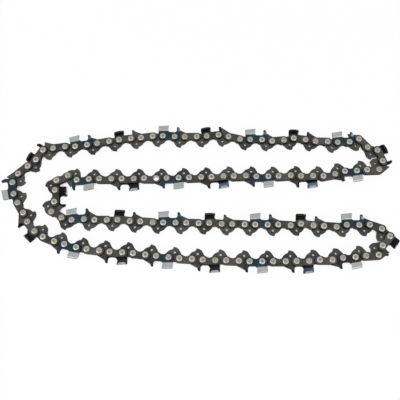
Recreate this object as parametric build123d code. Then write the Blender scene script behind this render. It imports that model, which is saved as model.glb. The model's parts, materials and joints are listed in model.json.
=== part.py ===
from build123d import *
import math
import os

os.makedirs("parts", exist_ok=True)

# A chainsaw chain loop lying on its side: rivet axes stand along Z, the cutters face outward.
# Each link is drawn from its rear rivet: x runs in the direction of travel, y runs outward from
# the bar, and z = 0 is the middle plane of the chain. Sizes are in millimetres and degrees.

# Chain: one drive link and one pair of side links together span two pitches
drive_link_count = 68
side_spacing = 8.88
drive_spacing = 7.63

# Layers across the chain
drive_gauge = 1.5
side_thickness = 1.25
side_gap = 0.05

# Rivets: a flange that turns in the drive link, a hub through each side link and a spun head
flange_diameter = 4.2
hub_diameter = 3.6
head_diameter = 4.4
head_height = 0.65
head_crown_diameter = 3.0
head_rim_height = 0.3
head_dimple_diameter = 1.2
head_dimple_depth = 0.15
bearing_clearance = 0.08
hub_clearance = 0.03

# Tie straps: round ends a little apart from the next strap, with an arch on the bar side
strap_end_gap = 0.9
strap_end_radius = 2.9
strap_rise = 0.25
arch_height = 0.95
arch_width = 4.6

# Drive links: round ends, and a tang with a hooked front that runs in the bar groove
drive_end_radius = 2.75
tang_depth = 8.0
tang_tip_forward = 0.75
tang_nose_length = 0.5
tang_nose_rise = 0.3
tang_flank_angle = 31.0
tang_foot_depth = 6.7
tang_foot_back = 2.7
tang_foot_bulge = 0.3
hook_depth = 5.7
hook_back = 0.75
hook_hollow = 0.55
lobe_bulge = 1.0
oil_hole_diameter = 1.6
oil_hole_depth = 4.05

# Bumper ramp on the drive link ahead of each cutter
bumper_height = 6.8
bumper_peak_forward = 1.6
bumper_front_height = 3.1
bumper_front_reach = 1.9
bumper_root_back = 0.8
bumper_rear_hollow = 1.1

# Cutters: a link body, a tooth bent outward and folded over the chain, and a depth gauge
cutter_front_extra = 0.35
gullet_height = 3.5
gullet_radius = 1.8
tooth_set = 0.75
tooth_height = 8.75
tooth_slope = 7.5
tooth_bend_height = 3.3
tooth_bend_length = 1.3
tooth_corner_radius = 1.3
top_plate_width = 3.1
top_plate_drop = 0.8
tooth_rear = 3.9
tooth_front = 4.2
tooth_front_lean = 7.5
cutting_angle = 25.0
heel_angle = 20.0
gauge_height = 7.8
gauge_rear = 1.2
gauge_tip_width = 1.3
gauge_front = 3.5
gauge_front_bulge = 0.6

# Where the loop lies on the table: points that the pivots follow, from the open pivot onward
lay_points = [
    (-32.2, 16.7), (-41.1, 16.8), (-48.7, 16.5), (-57.6, 16.4), (-65.2, 16.4), (-74.1, 16.5),
    (-81.7, 16.1), (-90.6, 15.5), (-97.3, 19), (-105.4, 15.2), (-106, 7.6), (-105.8, -1.2),
    (-107.4, -8.7), (-99.7, -13.1), (-92.2, -14.8), (-83.5, -14.2), (-75.9, -14.8), (-67, -14.9),
    (-59.4, -14.7), (-50.6, -15.7), (-42.9, -16), (-34.1, -16.6), (-26.5, -16.8), (-17.6, -16.9),
    (-9.9, -17), (-1.1, -17.3), (6.6, -17.1), (15.4, -17.8), (23, -17.9), (31.9, -18.2), (39.5, -18.3),
    (48.4, -18.4), (56.1, -18.3), (64.9, -18.9), (72.5, -17.7), (81.3, -18.9), (88.9, -19.4),
    (97.7, -20), (105.2, -18.4), (114.1, -18.6), (121.7, -18.4), (130.1, -21.4), (135.3, -26.9),
    (129.4, -33.6), (125.9, -40.4), (117.1, -40.9), (109.5, -41.8), (100.6, -42.4), (93.1, -43.8),
    (84.2, -43.8), (76.7, -44.6), (67.8, -44.7), (60.2, -44.9), (51.3, -44.9), (43.6, -44.9),
    (34.8, -44.9), (27.1, -44.5), (18.3, -44.2), (10.6, -44.1), (1.8, -43.7), (-5.8, -43.2),
    (-14.7, -42.7), (-22.3, -41.9), (-31.1, -41), (-38.7, -40.1), (-47.5, -39.1), (-55.1, -38.5),
    (-64, -38), (-71.6, -37.1), (-80.4, -36.1), (-87.9, -34.8), (-96.5, -32.5), (-103.8, -30.4),
    (-112.1, -27.1), (-118.4, -22.9), (-124.1, -16), (-127.7, -9.3), (-132.4, -1.8), (-135.9, 5),
    (-137.5, 13.7), (-133.9, 20.5), (-127.3, 26.4), (-121.6, 31.5), (-117, 39.1), (-109.5, 40.5),
    (-100.7, 41.7), (-93.1, 41.9), (-84.3, 43.2), (-76.8, 44.4), (-68, 46), (-60.5, 47.2),
    (-51.7, 48.3), (-44.1, 48.9), (-35.3, 50.1), (-27.6, 50.4), (-18.8, 49.8), (-11.2, 49.6),
    (-2.3, 49.8), (5.3, 50.2), (14.2, 51.1), (21.7, 49.7), (30.3, 47.7), (37.9, 47.5), (46.8, 47.3),
    (54.4, 46.2), (63.2, 47), (70.7, 48.5), (79.5, 47.3), (87, 46), (95.9, 45.8), (103.5, 45.2),
    (112.4, 45.6), (119.7, 47.8), (125, 41.3), (132.5, 38.7), (135.5, 30.6), (132.3, 23.7),
    (123.4, 23.4), (115.8, 22.7), (106.9, 22.3), (99.6, 20.2), (90.9, 18.5), (83.2, 18.7), (74.4, 18.5),
    (66.8, 19.1), (57.9, 18.5), (50.3, 18.2), (41.4, 18.1), (33.8, 18.8), (24.9, 18.4), (17.3, 18.5),
    (8.4, 17.8), (0.8, 17.7), (-8.1, 17.3), (-15.7, 17.1), (-24.6, 16.9),
]
curve_steps = 24

# Stretches of the loop between the pivots that swing, by the number of their first link
stretches = {
    "short_end": 0,
    "inner_bend": 8,
    "inner_run": 13,
    "lower_fold": 37,
    "bottom_run": 46,
    "left_bend": 70,
    "top_run": 85,
    "upper_fold": 111,
    "long_end": 118,
}

# Worked out from the sizes above
link_count = 2 * drive_link_count
inner_face = drive_gauge / 2 + side_gap
outer_face = inner_face + side_thickness
tooth_face = outer_face + tooth_set
chain_mid_height = max(tooth_face, outer_face + head_height)
strap_end_shift = (drive_spacing - strap_end_gap) / 2 - strap_end_radius
hub_hole_radius = hub_diameter / 2 + hub_clearance
bearing_radius = flange_diameter / 2 + bearing_clearance


def smooth_loop(points, scale):
    """A closed curve through the points, as a fine run of short steps."""
    curve = []
    count = len(points)
    for i in range(count):
        before, start, end, after = [Vector(*points[(i + k) % count]) * scale for k in (-1, 0, 1, 2)]
        leave = (end - before) / 2
        arrive = (after - start) / 2
        for step in range(curve_steps):
            t = step / curve_steps
            curve.append(
                start * (2 * t**3 - 3 * t**2 + 1)
                + leave * (t**3 - 2 * t**2 + t)
                + end * (3 * t**2 - 2 * t**3)
                + arrive * (t**3 - t**2)
            )
    return curve


def walk_chain(scale):
    """Pivots set link by link along the loop, and how many curve steps the last one has passed."""
    curve = smooth_loop(lay_points, scale)
    pivots = [curve[0]]
    place = 0.0
    for link in range(link_count):
        reach = side_spacing if link % 2 == 0 else drive_spacing
        here = pivots[-1]
        step = int(place) + 1
        while (curve[step % len(curve)] - here).length < reach:
            step += 1
        near = curve[(step - 1) % len(curve)]
        along = curve[step % len(curve)] - near
        offset = near - here
        half = offset.dot(along) / along.dot(along)
        rest = (offset.dot(offset) - reach**2) / along.dot(along)
        part_step = -half + math.sqrt(half**2 - rest)
        place = step - 1 + part_step
        pivots.append(near + along * part_step)
    return pivots, place - len(curve)


def lay_chain():
    """The pivots of the whole loop, with the lay sized so that the last link closes on the first."""
    small = 0.5
    large = 2.0
    for _ in range(50):
        scale = (small + large) / 2
        pivots, past_end = walk_chain(scale)
        if past_end > 0:
            small = scale
        else:
            large = scale
    return pivots


def round_ended(radius, rear, front):
    """An outline with two round ends about the given centres, joined by straight edges."""
    circles = [Pos(*centre) * Circle(radius) for centre in (rear, front)]
    return make_hull([edge for circle in circles for edge in circle.edges()])


def plate(outline, holes, low, high):
    """A flat plate from an outline, with round holes given as (x, y, radius)."""
    for x, y, radius in holes:
        outline -= Pos(x, y) * Circle(radius)
    return extrude(Pos(0, 0, low) * outline, amount=high - low)


def link_outline(front_shift):
    """The outline that straps and cutter bodies share: two round ends and an arch between them."""
    rear = (-strap_end_shift, strap_rise)
    front = (side_spacing + front_shift, strap_rise)
    foot = strap_rise - strap_end_radius
    arch_rear = (side_spacing / 2 - arch_width / 2, foot)
    arch_front = (side_spacing / 2 + arch_width / 2, foot)
    arch = make_face([SagittaArc(arch_rear, arch_front, arch_height), Line(arch_front, arch_rear)])
    return round_ended(strap_end_radius, rear, front) - arch


side_holes = [(0, 0, hub_hole_radius), (side_spacing, 0, hub_hole_radius)]


def tie_strap():
    """A tie strap on the near side of the chain."""
    return plate(link_outline(strap_end_shift), side_holes, inner_face, outer_face)


def tang_outline():
    """The tang below a drive link: straight rear flank, rounded foot, hooked front and front lobe."""
    middle = drive_spacing / 2
    flank = Vector(-drive_end_radius, 0).rotate(Axis.Z, tang_flank_angle)
    foot = Vector(middle - tang_foot_back, -tang_foot_depth)
    tip = Vector(middle + tang_tip_forward, -tang_depth)
    nose = tip + Vector(tang_nose_length, tang_nose_rise)
    hook = Vector(drive_spacing - hook_back, -hook_depth)
    lobe_end = Vector(drive_spacing + drive_end_radius, 0)
    return make_face(
        [
            Line(flank, foot),
            SagittaArc(foot, tip, -tang_foot_bulge),
            Line(tip, nose),
            SagittaArc(nose, hook, hook_hollow),
            SagittaArc(hook, lobe_end, -lobe_bulge),
            Line(lobe_end, flank),
        ]
    )


def bumper_outline():
    """The ramp on top of a drive link: steep and hollow behind, sloping down towards the front."""
    root = Vector(-bumper_root_back, math.sqrt(drive_end_radius**2 - bumper_root_back**2))
    peak = Vector(bumper_peak_forward, bumper_height)
    front = Vector(drive_spacing + bumper_front_reach, bumper_front_height)
    chest = Vector(drive_spacing + drive_end_radius, 0)
    return make_face(
        [
            SagittaArc(root, peak, -bumper_rear_hollow),
            Line(peak, front),
            Line(front, chest),
            Line(chest, root),
        ]
    )


def drive_link(has_bumper):
    """A drive link with its tang and oil hole, and a ramp on every second one."""
    outline = round_ended(drive_end_radius, (0, 0), (drive_spacing, 0)) + tang_outline()
    if has_bumper:
        outline += bumper_outline()
    holes = [
        (0, 0, bearing_radius),
        (drive_spacing, 0, bearing_radius),
        (drive_spacing / 2, -oil_hole_depth, oil_hole_diameter / 2),
    ]
    return plate(outline, holes, -drive_gauge / 2, drive_gauge / 2)


def quarter_curve(start, end, corner):
    """A quarter round from start to end that hollows towards the corner point."""
    towards_corner = (Vector(*start) + Vector(*end)) / 2 - Vector(*corner)
    middle = Vector(*corner) + towards_corner * (2 - math.sqrt(2))
    return ThreePointArc(start, middle, end)


def depth_gauge_outline():
    """The depth gauge at the front of a cutter, with the front curve of the gullet."""
    rear = side_spacing + gauge_rear
    gullet_end = (rear - gullet_radius, gullet_height)
    gullet_top = (rear, gullet_height + gullet_radius)
    tip_rear = (rear, gauge_height)
    tip_front = (rear + gauge_tip_width, gauge_height)
    foot = (side_spacing + gauge_front, gullet_height)
    return make_face(
        [
            quarter_curve(gullet_end, gullet_top, (rear, gullet_height)),
            Line(gullet_top, tip_rear),
            Line(tip_rear, tip_front),
            SagittaArc(tip_front, foot, gauge_front_bulge),
            Line(foot, gullet_end),
        ]
    )


def cutter_body():
    """The flat part of a right-hand cutter: link body, gullet floor and depth gauge."""
    floor = make_face(
        Polyline(
            (-strap_end_shift, 0),
            (side_spacing + gauge_front, 0),
            (side_spacing + gauge_front, gullet_height),
            (-strap_end_shift, gullet_height),
            close=True,
        )
    )
    outline = link_outline(strap_end_shift + cutter_front_extra) + floor + depth_gauge_outline()
    return plate(outline, [], inner_face, outer_face)


def tooth_bar():
    """The bent strip of the tooth, drawn out along its slope: set outward, then folded over the top."""
    bend_top = tooth_bend_height + tooth_bend_length
    fold_end = tooth_face - top_plate_width
    edge_height = tooth_height - top_plate_drop
    inside_height = tooth_height - top_plate_drop * side_thickness / top_plate_width - side_thickness
    section = make_face(
        Polyline(
            (inner_face, strap_rise),
            (outer_face, strap_rise),
            (outer_face, tooth_bend_height),
            (tooth_face, bend_top),
            (tooth_face, tooth_height),
            (fold_end, edge_height),
            (fold_end, edge_height - side_thickness),
            (inner_face + tooth_set, inside_height),
            (inner_face + tooth_set, bend_top),
            (inner_face, tooth_bend_height),
            close=True,
        )
    )
    corner = section.vertices().sort_by_distance((tooth_face, tooth_height, 0))[0]
    section = fillet(corner, tooth_corner_radius)
    across = Plane(origin=(0, 0, 0), x_dir=(0, 0, 1), z_dir=(-1, 0, 0))
    slope = Vector(1, 0).rotate(Axis.Z, tooth_slope)
    return extrude(across * section, amount=2 * side_spacing, dir=slope, both=True)


def tooth_side_view():
    """The tooth seen from the side: leaning heel, leaning front edge and the gullet curve below it."""
    lean = math.tan(math.radians(tooth_front_lean))
    top = 2 * tooth_height
    heel_low = (-strap_end_shift - strap_end_radius, strap_rise)
    heel_high = (-tooth_rear, tooth_height)
    front_top = (tooth_front + lean * tooth_height, top)
    gullet_top_height = gullet_height + gullet_radius
    front_low = tooth_front - lean * (tooth_height - gullet_top_height)
    gullet_top = (front_low, gullet_top_height)
    gullet_end = (front_low + gullet_radius, gullet_height)
    return make_face(
        [
            Line(heel_low, heel_high),
            Line(heel_high, (-tooth_rear, top)),
            Line((-tooth_rear, top), front_top),
            Line(front_top, gullet_top),
            quarter_curve(gullet_top, gullet_end, (front_low, gullet_height)),
            Line(gullet_end, (front_low + gullet_radius, strap_rise)),
            Line((front_low + gullet_radius, strap_rise), heel_low),
        ]
    )


def slant_cut(edge, angle, away):
    """What is cut from one end of the top plate, so that its edge slants back across the chain."""
    reach = 2 * tooth_height
    slant = math.tan(math.radians(angle)) * reach
    plan = Plane(origin=(0, tooth_bend_height + tooth_bend_length, 0), x_dir=(1, 0, 0), z_dir=(0, 1, 0))
    outline = make_face(
        Polyline(
            (edge, -tooth_face),
            (edge - away * slant, reach - tooth_face),
            (edge + away * reach, reach - tooth_face),
            (edge + away * reach, -tooth_face),
            close=True,
        )
    )
    return extrude(plan * outline, amount=reach)


def right_cutter():
    """A right-hand cutter, on the near side of the chain, with its rivet holes."""
    tooth = tooth_bar() & extrude(tooth_side_view(), amount=2 * tooth_face, both=True)
    tooth -= slant_cut(tooth_front, cutting_angle, 1)
    tooth -= slant_cut(-tooth_rear, heel_angle, -1)
    cutter = cutter_body() + tooth
    for x, y, radius in side_holes:
        cutter -= Pos(x, y) * Cylinder(radius, 4 * tooth_face)
    return cutter


def rivet():
    """A rivet: flange in the drive link, hubs through the side links, a dimpled head at each end."""
    top = outer_face + head_height
    profile = make_face(
        Polyline(
            (0, 0),
            (flange_diameter / 2, 0),
            (flange_diameter / 2, inner_face),
            (hub_diameter / 2, inner_face),
            (hub_diameter / 2, outer_face),
            (head_diameter / 2, outer_face),
            (head_diameter / 2, outer_face + head_rim_height),
            (head_crown_diameter / 2, top),
            (head_dimple_diameter / 2, top),
            (0, top - head_dimple_depth),
            close=True,
        )
    )
    half = revolve(Plane.XZ * profile, axis=Axis.Z)
    return half + far_side(half)


def far_side(piece):
    """The same piece on the other side of the chain."""
    return mirror(piece, about=Plane.XY)


def stretch_of(link):
    """The stretch of the loop that a link belongs to."""
    return [name for name, first in stretches.items() if first <= link][-1]


def place_pieces():
    """All pieces in their places along the loop, in lists by stretch and kind."""
    strap = tie_strap().solid()
    cutter = right_cutter().solid()
    shapes = {
        "near_strap": strap,
        "far_strap": far_side(strap),
        "right_cutter": cutter,
        "left_cutter": far_side(cutter),
        "plain_drive_link": drive_link(False).solid(),
        "bumper_drive_link": drive_link(True).solid(),
        "rivet": rivet().solid(),
    }
    pivots = lay_chain()
    nodes = {}

    def add(link, kind, shape, pivot, heading):
        place = Location((pivot.X, pivot.Y, chain_mid_height), (0, 0, heading))
        nodes.setdefault(f"{stretch_of(link)}_{kind}", []).append(shapes[shape].moved(place))

    for link in range(link_count):
        start = pivots[link]
        end = pivots[link + 1]
        heading = math.degrees(math.atan2(end.Y - start.Y, end.X - start.X))
        position = link // 2
        if link % 2 == 1:
            # A ramp stands on the drive link that follows a cutter
            shape = "bumper_drive_link" if position % 2 == 1 else "plain_drive_link"
            add(link, f"{shape}s", shape, start, heading)
            continue
        # Right and left cutters alternate, with a pair of straps between them
        near = "right_cutter" if position % 4 == 3 else "near_strap"
        far = "left_cutter" if position % 4 == 1 else "far_strap"
        for shape in (near, far):
            kind = "tie_straps" if shape.endswith("strap") else f"{shape}s"
            add(link, kind, shape, start, heading)
        # The first pivot of the loop is open: it has no rivet
        for pivot in (start, end):
            if pivot is not pivots[0]:
                add(link, "rivets", "rivet", pivot, heading)
    return nodes


if __name__ == "__main__":
    nodes = place_pieces()
    box = Compound([solid for solids in nodes.values() for solid in solids]).bounding_box()
    centre = Pos(-box.center().X, -box.center().Y, 0)
    for name, solids in nodes.items():
        export_step(Compound([solid.moved(centre) for solid in solids]), f"parts/{name}.step")
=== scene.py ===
"""A loop of saw chain lying folded on its side, dressed in phosphated, blued and bright steel.

Each piece is drawn flat in millimetres, as a press would cut it, bent where the real one is bent, and
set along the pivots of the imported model. The x axis of a link runs in its direction of travel, y points
outward from the bar and z points up, away from the table, with z = 0 in the middle of the chain.
"""

import json
import logging
import math
from dataclasses import dataclass, field, replace
from enum import Enum
from typing import Any, Callable, Sequence

import bmesh
import bpy
import numpy as np
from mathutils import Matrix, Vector, geometry

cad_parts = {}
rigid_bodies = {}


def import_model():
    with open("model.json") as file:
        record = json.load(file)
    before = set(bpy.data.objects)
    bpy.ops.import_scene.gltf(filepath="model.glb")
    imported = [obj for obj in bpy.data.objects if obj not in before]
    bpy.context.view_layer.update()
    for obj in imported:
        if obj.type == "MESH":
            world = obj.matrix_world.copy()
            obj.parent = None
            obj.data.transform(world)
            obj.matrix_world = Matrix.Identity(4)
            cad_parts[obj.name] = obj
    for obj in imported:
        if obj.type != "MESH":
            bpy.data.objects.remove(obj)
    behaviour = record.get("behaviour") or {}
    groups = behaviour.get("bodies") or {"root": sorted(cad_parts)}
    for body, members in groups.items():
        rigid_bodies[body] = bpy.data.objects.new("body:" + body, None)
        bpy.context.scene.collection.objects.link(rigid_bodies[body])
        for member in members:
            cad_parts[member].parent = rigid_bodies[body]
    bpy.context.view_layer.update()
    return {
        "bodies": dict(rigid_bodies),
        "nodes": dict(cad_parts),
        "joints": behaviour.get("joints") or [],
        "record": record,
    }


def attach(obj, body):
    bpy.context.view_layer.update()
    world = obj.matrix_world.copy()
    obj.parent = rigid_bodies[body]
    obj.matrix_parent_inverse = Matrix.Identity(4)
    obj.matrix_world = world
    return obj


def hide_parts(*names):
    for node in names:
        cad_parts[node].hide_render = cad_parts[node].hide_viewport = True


LOG = logging.getLogger("chain_loop")
MM = 0.001

Point = tuple[float, float]
Colour = tuple[float, float, float, float]


class Kind(Enum):
    """The kinds of piece in the chain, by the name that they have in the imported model."""

    PLAIN_DRIVE_LINK = "plain_drive_links"
    BUMPER_DRIVE_LINK = "bumper_drive_links"
    TIE_STRAP = "tie_straps"
    RIGHT_CUTTER = "right_cutters"
    LEFT_CUTTER = "left_cutters"
    RIVET = "rivets"


class Screen:
    """The curve by which a screen shows colours, which are written with values up to a top one."""

    top = 255
    straight_until = 0.04045
    straight_slope = 12.92
    offset = 0.055
    power = 2.4

    @classmethod
    def linear(cls, value: int) -> float:
        """One part of a written colour in linear light."""
        share = value / cls.top
        if share <= cls.straight_until:
            return share / cls.straight_slope
        return ((share + cls.offset) / (1 + cls.offset)) ** cls.power


def tint(red: int, green: int, blue: int) -> Colour:
    """A colour as a screen shows it, turned into the linear values that shaders take."""
    return (Screen.linear(red), Screen.linear(green), Screen.linear(blue), 1.0)


class Outline:
    """A closed outline, drawn counter-clockwise as straight runs and arcs."""

    arc_step = 10.0
    corner_angle = 24.0
    corner_steps = 4
    # How much of a run one rounded corner may use
    run_share = 0.45
    same_place = 1e-6

    def __init__(self, x: float, y: float) -> None:
        """Starts the outline at a point."""
        self.points: list[Point] = [(x, y)]

    def line(self, x: float, y: float, steps: int = 1) -> "Outline":
        """Goes straight to a point.

        Args:
            x: Where the run ends along the link.
            y: Where the run ends across the link.
            steps: How many equal runs to make of it.

        Returns:
            The outline itself.
        """
        from_x, from_y = self.points[-1]
        for step in range(1, steps + 1):
            share = step / steps
            self.points.append((from_x + (x - from_x) * share, from_y + (y - from_y) * share))
        return self

    def sweep(self, centre: Point, turn: float) -> "Outline":
        """Goes round a centre.

        Args:
            centre: The centre of the arc.
            turn: The angle in degrees, counter-clockwise if positive.

        Returns:
            The outline itself.
        """
        x, y = self.points[-1]
        radius = math.hypot(x - centre[0], y - centre[1])
        start = math.atan2(y - centre[1], x - centre[0])
        steps = max(2, math.ceil(abs(turn) / self.arc_step))
        for step in range(1, steps + 1):
            angle = start + math.radians(turn) * step / steps
            self.points.append((centre[0] + radius * math.cos(angle), centre[1] + radius * math.sin(angle)))
        return self

    def bow(self, x: float, y: float, rise: float) -> "Outline":
        """Goes to a point along an arc.

        Args:
            x: Where the arc ends along the link.
            y: Where the arc ends across the link.
            rise: How far the arc stands out to the left of its chord.

        Returns:
            The outline itself.
        """
        from_x, from_y = self.points[-1]
        chord = math.hypot(x - from_x, y - from_y)
        radius = (chord**2 / 4 + rise**2) / (2 * abs(rise))
        to_centre = rise - math.copysign(radius, rise)
        left = (-(y - from_y) / chord, (x - from_x) / chord)
        centre = ((from_x + x) / 2 + left[0] * to_centre, (from_y + y) / 2 + left[1] * to_centre)
        turn = -math.copysign(2 * math.degrees(math.asin(chord / 2 / radius)), rise)
        return self.sweep(centre, turn)

    def rounded(self, radius: float) -> np.ndarray:
        """Closes the outline and rounds its corners.

        Args:
            radius: The radius of the corners, less where a run is short.

        Returns:
            The points of the outline, one row each.
        """
        points = [Vector(point) for point in self.points]
        if (points[0] - points[-1]).length < self.same_place:
            points.pop()
        rounded: list[Vector] = []
        for index, here in enumerate(points):
            back = points[index - 1] - here
            ahead = points[(index + 1) % len(points)] - here
            turn = math.pi - back.angle(ahead)
            if math.degrees(turn) < self.corner_angle:
                rounded.append(here)
                continue
            shortest = min(back.length, ahead.length)
            reach = min(radius * math.tan(turn / 2), self.run_share * shortest)
            start = here + back.normalized() * reach
            end = here + ahead.normalized() * reach
            for step in range(self.corner_steps + 1):
                t = step / self.corner_steps
                rounded.append(start * (1 - t) ** 2 + here * (2 * t * (1 - t)) + end * t**2)
        return np.array([tuple(point) for point in rounded])


def hole(x: float, y: float, radius: float, steps: int = 28) -> np.ndarray:
    """A round hole.

    Args:
        x: Its centre along the link.
        y: Its centre across the link.
        radius: Its radius.
        steps: How many points go round it.

    Returns:
        Its points in clockwise order, one row each.
    """
    angles = -np.arange(steps) * 2 * math.pi / steps
    return np.stack([x + radius * np.cos(angles), y + radius * np.sin(angles)], axis=1)


def ring_quads(first: int, size: int, rings: int) -> np.ndarray:
    """Quads between closed rings of points.

    Args:
        first: The number of the first ring's first point.
        size: How many points a ring has.
        rings: How many rings follow each other.

    Returns:
        Rows of four point numbers.
    """
    here = np.arange(size)
    after = np.roll(here, -1)
    bands = []
    for ring in range(rings - 1):
        above = first + ring * size
        below = above + size
        bands.append(np.stack([above + here, below + here, below + after, above + after], axis=1))
    return np.vstack(bands)


@dataclass
class Pattern:
    """The mesh of one piece in its link's own frame, with what its finish reads.

    plan holds each point's place in the flat sheet and its height in the sheet, rim runs from 0 on a
    face to 1 on a cut edge, and filed runs to 1 where a file has left bare steel.
    """

    points: np.ndarray
    normals: np.ndarray
    plan: np.ndarray
    rim: np.ndarray
    filed: np.ndarray
    quads: np.ndarray
    triangles: np.ndarray

    def far_side(self) -> "Pattern":
        """The same piece on the far side of the chain."""
        flip = np.array([1.0, 1.0, -1.0])
        return replace(
            self,
            points=self.points * flip,
            normals=self.normals * flip,
            quads=self.quads[:, ::-1],
            triangles=self.triangles[:, ::-1],
        )


@dataclass
class Fold:
    """Bends of a flat sheet about lines that run along a slope.

    bends holds pairs of a length along the sheet and the angle in degrees that the sheet turns through
    over it, outward from the chain if positive.
    """

    start: float
    slope: float
    last_x: float
    bends: Sequence[Point]
    fine_step: float = 0.01

    def __post_init__(self) -> None:
        """Works out the bent section once."""
        angles = [0.0]
        for length, turn in self.bends:
            steps = max(1, round(length / self.fine_step))
            angles += [angles[-1] + math.radians(turn) * step / steps for step in range(1, steps + 1)]
        self.angle = np.array(angles)
        self.along = np.arange(len(angles)) * self.fine_step
        self.rise = np.concatenate([[0], np.cumsum(np.cos(self.angle[1:]))]) * self.fine_step
        self.out = np.concatenate([[0], np.cumsum(np.sin(self.angle[1:]))]) * self.fine_step

    @property
    def length(self) -> float:
        """The length of the bent strip along the sheet."""
        return float(self.along[-1])

    def section(self, reach: Any) -> tuple[np.ndarray, np.ndarray, np.ndarray]:
        """The rise, the outward set and the angle of the sheet at some reach past the first bend."""
        return (
            np.interp(reach, self.along, self.rise),
            np.interp(reach, self.along, self.out),
            np.interp(reach, self.along, self.angle),
        )

    def bend(self, plan: np.ndarray, flat: np.ndarray, thick: float) -> tuple[np.ndarray, np.ndarray]:
        """Bends points of a sheet.

        Args:
            plan: Each point's place in the flat sheet, and its height in the sheet.
            flat: Each point's normal in the flat sheet.
            thick: The thickness of the sheet.

        Returns:
            The bent points, measured from the middle of the sheet, and their normals.
        """
        x, across, height = plan.T
        reach = np.where(x < self.last_x, across - self.start - self.slope * x, -1.0)
        bent = reach > 0
        rise, out, angle = self.section(np.maximum(reach, 0))
        angle = np.where(bent, angle, 0.0)
        up, aside = np.cos(angle), np.sin(angle)
        y = np.where(bent, self.start + self.slope * x + rise, across)
        along = np.stack([np.ones_like(x), self.slope * (1 - up), -self.slope * aside], axis=1)
        over = np.stack([np.zeros_like(x), up, aside], axis=1)
        face = np.cross(along, over)
        face /= np.linalg.norm(face, axis=1, keepdims=True)
        middle = np.stack([x, y, np.where(bent, out, 0.0)], axis=1)
        points = middle + face * (height - thick / 2)[:, None]
        normals = along * flat[:, :1] + over * flat[:, 1:2] + face * flat[:, 2:]
        return points, normals / np.linalg.norm(normals, axis=1, keepdims=True)


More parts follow.
